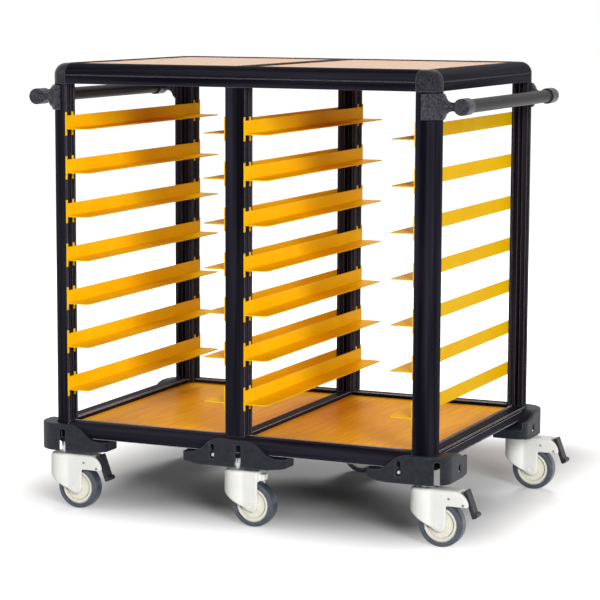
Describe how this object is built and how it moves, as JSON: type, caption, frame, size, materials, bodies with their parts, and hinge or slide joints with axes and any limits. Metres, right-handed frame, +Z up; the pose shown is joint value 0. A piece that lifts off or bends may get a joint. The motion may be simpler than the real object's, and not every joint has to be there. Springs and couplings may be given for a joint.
{
  "type": "tray return trolley",
  "caption": "Open trolley with two columns of tray runners in a slotted black frame, side push handles, moulded bumpers and swivelling braked casters.",
  "frame": {"origin": "on the floor, under the middle of the bounding box with the casters trailing to the right", "axes": "+X to the right along the two tray columns, +Y to the rear, +Z up"},
  "size_m": [1.0856, 0.694, 1.007],
  "materials": {
    "frame_black": "satin black",
    "orange_panel": "fine grain",
    "yellow_runner": "powder coated",
    "grey_tube": "satin",
    "black_bracket": "moulded",
    "bumper_plastic": "moulded",
    "white_plastic": "moulded",
    "grey_tyre": "smooth",
    "pedal_plastic": "moulded",
    "zinc_steel": "zinc plated"
  },
  "bodies": {
    "frame": {"post_front_left": "frame_black", "post_front_middle": "frame_black", "post_front_right": "frame_black", "post_rear_left": "frame_black", "post_rear_middle": "frame_black", "post_rear_right": "frame_black", "top_rail_front": "frame_black", "top_rail_rear": "frame_black", "top_rail_left": "frame_black", "top_rail_right": "frame_black", "top_cross_rail": "frame_black", "top_corner_joints": "frame_black", "top_panel_left": "orange_panel", "top_panel_right": "orange_panel", "base_rail_front": "frame_black", "base_rail_rear": "frame_black", "base_rail_left": "frame_black", "base_rail_right": "frame_black", "base_cross_rail": "frame_black", "base_panel_left": "orange_panel", "base_panel_right": "orange_panel", "runners_left_outer": "yellow_runner", "runners_left_inner": "yellow_runner", "runners_right_inner": "yellow_runner", "runners_right_outer": "yellow_runner", "handle_tube_left": "grey_tube", "handle_tube_right": "grey_tube", "handle_brackets_left": "black_bracket", "handle_brackets_right": "black_bracket", "corner_bumpers": "bumper_plastic", "middle_bumpers": "bumper_plastic", "caster_stems": "zinc_steel"},
    "caster_front_left_fork": {"caster_front_left_housing": "white_plastic", "caster_front_left_axle": "zinc_steel"},
    "caster_front_left_roller": {"caster_front_left_wheel": "white_plastic", "caster_front_left_tyre": "grey_tyre"},
    "caster_front_left_brake": {"caster_front_left_pedal": "pedal_plastic"},
    "caster_front_middle_fork": {"caster_front_middle_housing": "white_plastic", "caster_front_middle_axle": "zinc_steel"},
    "caster_front_middle_roller": {"caster_front_middle_wheel": "white_plastic", "caster_front_middle_tyre": "grey_tyre"},
    "caster_front_right_fork": {"caster_front_right_housing": "white_plastic", "caster_front_right_axle": "zinc_steel"},
    "caster_front_right_roller": {"caster_front_right_wheel": "white_plastic", "caster_front_right_tyre": "grey_tyre"},
    "caster_front_right_brake": {"caster_front_right_pedal": "pedal_plastic"},
    "caster_rear_left_fork": {"caster_rear_left_housing": "white_plastic", "caster_rear_left_axle": "zinc_steel"},
    "caster_rear_left_roller": {"caster_rear_left_wheel": "white_plastic", "caster_rear_left_tyre": "grey_tyre"},
    "caster_rear_left_brake": {"caster_rear_left_pedal": "pedal_plastic"},
    "caster_rear_middle_fork": {"caster_rear_middle_housing": "white_plastic", "caster_rear_middle_axle": "zinc_steel"},
    "caster_rear_middle_roller": {"caster_rear_middle_wheel": "white_plastic", "caster_rear_middle_tyre": "grey_tyre"},
    "caster_rear_right_fork": {"caster_rear_right_housing": "white_plastic", "caster_rear_right_axle": "zinc_steel"},
    "caster_rear_right_roller": {"caster_rear_right_wheel": "white_plastic", "caster_rear_right_tyre": "grey_tyre"},
    "caster_rear_right_brake": {"caster_rear_right_pedal": "pedal_plastic"}
  },
  "joints": [
    {"name": "caster_front_left_swivel", "type": "hinge", "parent": "frame", "child": "caster_front_left_fork", "pos_m": [-0.45682, -0.3125, 0.126], "axis": [0, 0, 1], "continuous": true},
    {"name": "caster_front_left_roll", "type": "hinge", "parent": "caster_front_left_fork", "child": "caster_front_left_roller", "pos_m": [-0.41683, -0.3125, 0.05], "axis": [0, 1, 0], "continuous": true},
    {"name": "caster_front_left_press", "type": "hinge", "parent": "caster_front_left_fork", "child": "caster_front_left_brake", "pos_m": [-0.36283, -0.3125, 0.0975], "axis": [0, 1, 0], "range_deg": [0, 14]},
    {"name": "caster_front_middle_swivel", "type": "hinge", "parent": "frame", "child": "caster_front_middle_fork", "pos_m": [-0.01833, -0.3125, 0.126], "axis": [0, 0, 1], "continuous": true},
    {"name": "caster_front_middle_roll", "type": "hinge", "parent": "caster_front_middle_fork", "child": "caster_front_middle_roller", "pos_m": [0.02167, -0.3125, 0.05], "axis": [0, 1, 0], "continuous": true},
    {"name": "caster_front_right_swivel", "type": "hinge", "parent": "frame", "child": "caster_front_right_fork", "pos_m": [0.42018, -0.3125, 0.126], "axis": [0, 0, 1], "continuous": true},
    {"name": "caster_front_right_roll", "type": "hinge", "parent": "caster_front_right_fork", "child": "caster_front_right_roller", "pos_m": [0.46018, -0.3125, 0.05], "axis": [0, 1, 0], "continuous": true},
    {"name": "caster_front_right_press", "type": "hinge", "parent": "caster_front_right_fork", "child": "caster_front_right_brake", "pos_m": [0.51418, -0.3125, 0.0975], "axis": [0, 1, 0], "range_deg": [0, 14]},
    {"name": "caster_rear_left_swivel", "type": "hinge", "parent": "frame", "child": "caster_rear_left_fork", "pos_m": [-0.45682, 0.3125, 0.126], "axis": [0, 0, 1], "continuous": true},
    {"name": "caster_rear_left_roll", "type": "hinge", "parent": "caster_rear_left_fork", "child": "caster_rear_left_roller", "pos_m": [-0.41683, 0.3125, 0.05], "axis": [0, 1, 0], "continuous": true},
    {"name": "caster_rear_left_press", "type": "hinge", "parent": "caster_rear_left_fork", "child": "caster_rear_left_brake", "pos_m": [-0.36283, 0.3125, 0.0975], "axis": [0, 1, 0], "range_deg": [0, 14]},
    {"name": "caster_rear_middle_swivel", "type": "hinge", "parent": "frame", "child": "caster_rear_middle_fork", "pos_m": [-0.01833, 0.3125, 0.126], "axis": [0, 0, 1], "continuous": true},
    {"name": "caster_rear_middle_roll", "type": "hinge", "parent": "caster_rear_middle_fork", "child": "caster_rear_middle_roller", "pos_m": [0.02167, 0.3125, 0.05], "axis": [0, 1, 0], "continuous": true},
    {"name": "caster_rear_right_swivel", "type": "hinge", "parent": "frame", "child": "caster_rear_right_fork", "pos_m": [0.42018, 0.3125, 0.126], "axis": [0, 0, 1], "continuous": true},
    {"name": "caster_rear_right_roll", "type": "hinge", "parent": "caster_rear_right_fork", "child": "caster_rear_right_roller", "pos_m": [0.46018, 0.3125, 0.05], "axis": [0, 1, 0], "continuous": true},
    {"name": "caster_rear_right_press", "type": "hinge", "parent": "caster_rear_right_fork", "child": "caster_rear_right_brake", "pos_m": [0.51418, 0.3125, 0.0975], "axis": [0, 1, 0], "range_deg": [0, 14]}
  ]
}
